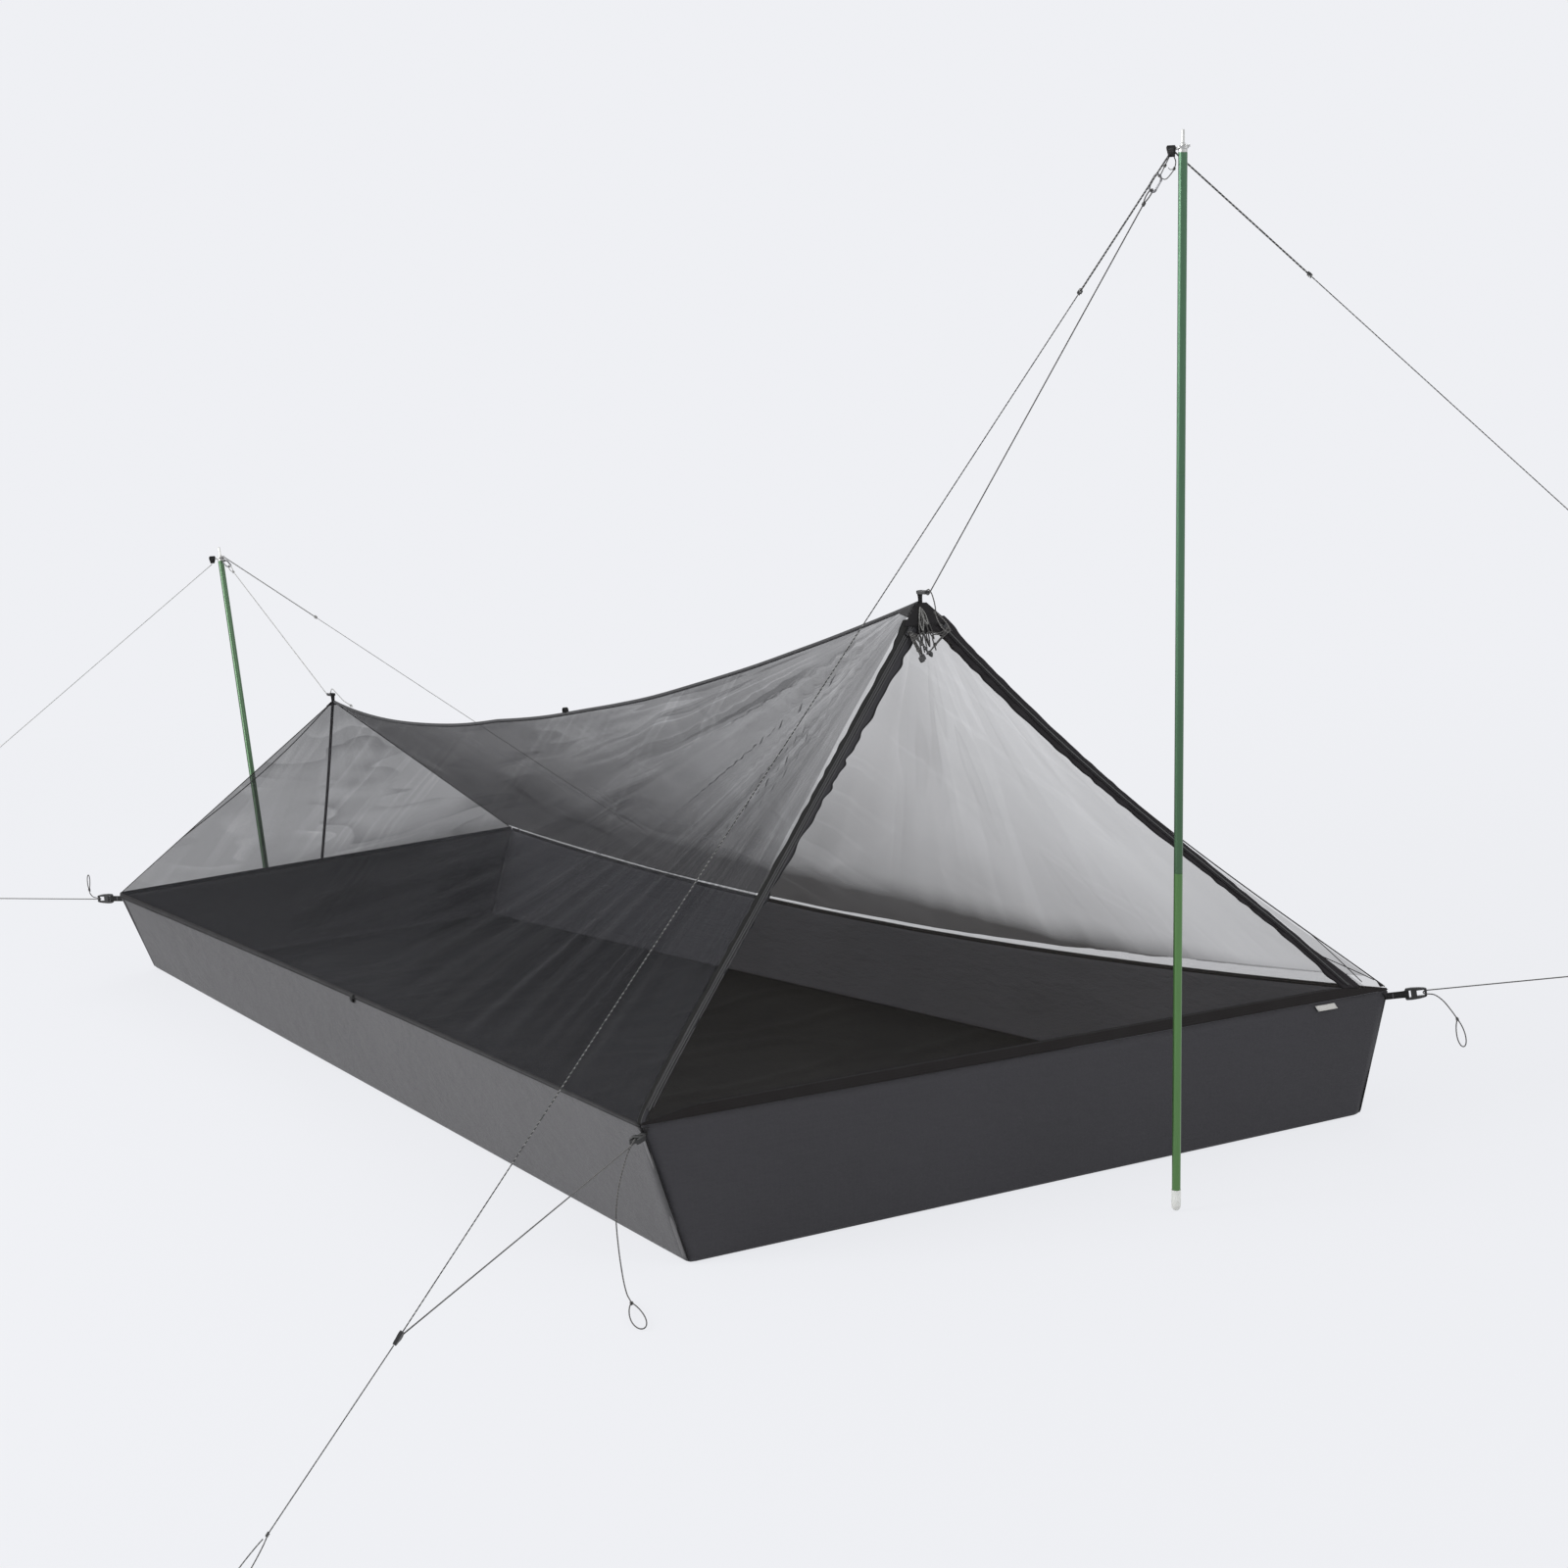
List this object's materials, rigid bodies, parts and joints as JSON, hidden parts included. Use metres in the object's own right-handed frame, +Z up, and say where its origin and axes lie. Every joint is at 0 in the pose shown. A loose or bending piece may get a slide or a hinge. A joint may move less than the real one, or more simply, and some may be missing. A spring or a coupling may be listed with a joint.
{
  "type": "bug bivy",
  "caption": "Low solo insect shelter: dark coated tub floor under a see-through mesh cover, held between a tall head pole and a short foot pole by guys and corner cords.",
  "frame": {"origin": "centre of the tub floor's underside, on the ground", "axes": "+X to the head end, +Y to the far side as pictured, +Z up"},
  "size_m": [3.2491, 2.1942, 1.2136],
  "materials": {
    "tub_cloth": "coated woven nylon, slight sheen",
    "floor_cloth": "coated woven nylon, matt inside",
    "cover_mesh": "fine knitted insect mesh, see-through",
    "door_mesh": "fine knitted insect mesh, see-through",
    "foot_mesh": "fine knitted insect mesh, see-through",
    "binding": "folded tape binding, matt",
    "zip_tape": "woven zip tape with a moulded coil",
    "slider": "black coated slider",
    "pull_cord": "braided cord with a knotted end",
    "webbing": "narrow woven webbing",
    "tensioner_plastic": "moulded nylon",
    "pole_light_green": "green anodised, satin",
    "pole_dark_green": "green anodised, satin",
    "pole_tip": "white moulded plastic",
    "pole_metal": "bare metal",
    "hook_metal": "dull metal",
    "cord": "round braided cord"
  },
  "bodies": {
    "bivy": {"door_panel": "door_mesh", "far_canopy": "cover_mesh", "far_door_gusset": "door_mesh", "far_foot_tensioner": "tensioner_plastic", "far_foot_webbing": "webbing", "far_front_guy": "cord", "far_head_cord": "cord", "far_head_tensioner": "tensioner_plastic", "far_head_webbing": "webbing", "far_rear_guy": "cord", "far_wall": "tub_cloth", "far_zip": "zip_tape", "floor_panel": "floor_cloth", "foot_panel": "foot_mesh", "foot_tensioner": "tensioner_plastic", "foot_wall": "tub_cloth", "foot_webbing": "webbing", "front_hook": "hook_metal", "front_hook_loop": "cord", "front_line": "cord", "front_pole_foot": "pole_tip", "front_pole_lower": "pole_light_green", "front_pole_middle": "pole_dark_green", "front_pole_pin": "pole_metal", "front_pole_ring": "pole_metal", "front_pole_tab": "webbing", "front_pole_upper": "pole_dark_green", "head_tensioner": "tensioner_plastic", "head_wall": "tub_cloth", "head_webbing": "webbing", "junction_tensioner": "tensioner_plastic", "near_canopy": "cover_mesh", "near_foot_cord": "cord", "near_foot_tensioner": "tensioner_plastic", "near_foot_webbing": "webbing", "near_front_guy": "cord", "near_front_stake_line": "cord", "near_head_cord": "cord", "near_head_tensioner": "tensioner_plastic", "near_head_webbing": "webbing", "near_rear_guy": "cord", "near_wall": "tub_cloth", "near_zip": "zip_tape", "rear_hook": "hook_metal", "rear_hook_loop": "cord", "rear_line": "cord", "rear_pole_foot": "pole_tip", "rear_pole_pin": "pole_metal", "rear_pole_ring": "pole_metal", "rear_pole_tab": "webbing", "rear_pole_tube": "pole_dark_green", "ridge_binding": "binding", "sill_band": "binding"},
    "near_slider": {"near_slider": "slider"},
    "far_slider": {"far_slider": "slider"},
    "near_pull": {"near_pull": "pull_cord"},
    "far_pull": {"far_pull": "pull_cord"},
    "front_gate": {"front_gate": "hook_metal"},
    "rear_gate": {"rear_gate": "hook_metal"}
  },
  "joints": [
    {"name": "near_zip_slide", "type": "slide", "parent": "bivy", "child": "near_slider", "axis": [0.2669, -0.69, -0.6728], "range_m": [0, 0.6], "deforming": ["door_panel"]},
    {"name": "far_zip_slide", "type": "slide", "parent": "bivy", "child": "far_slider", "axis": [0.2718, 0.6545, -0.7055], "range_m": [0, 0.6]},
    {"name": "near_pull_swing", "type": "hinge", "parent": "near_slider", "child": "near_pull", "pos_m": [0.86406, -0.02794, 0.64871], "axis": [0, -1, 0], "range_deg": [0, 120]},
    {"name": "far_pull_swing", "type": "hinge", "parent": "far_slider", "child": "far_pull", "pos_m": [0.86406, 0.02586, 0.64789], "axis": [0, -1, 0], "range_deg": [0, 120]},
    {"name": "front_gate_swing", "type": "hinge", "parent": "bivy", "child": "front_gate", "pos_m": [1.30503, 0.04209, 1.15891], "axis": [-0.2588, 0.9526, 0.1597], "range_deg": [0, 20], "stiffness_Nm_per_rad": 0.004, "springref_deg": -5.73},
    {"name": "rear_gate_swing", "type": "hinge", "parent": "bivy", "child": "rear_gate", "pos_m": [-1.3668, -0.0046, 0.61878], "axis": [0.4398, 0, 0.8981], "range_deg": [0, 20], "stiffness_Nm_per_rad": 0.004, "springref_deg": -5.73}
  ],
  "couplings": [
    {"joint": "far_zip_slide", "follows": "near_zip_slide", "ratio": 1}
  ]
}
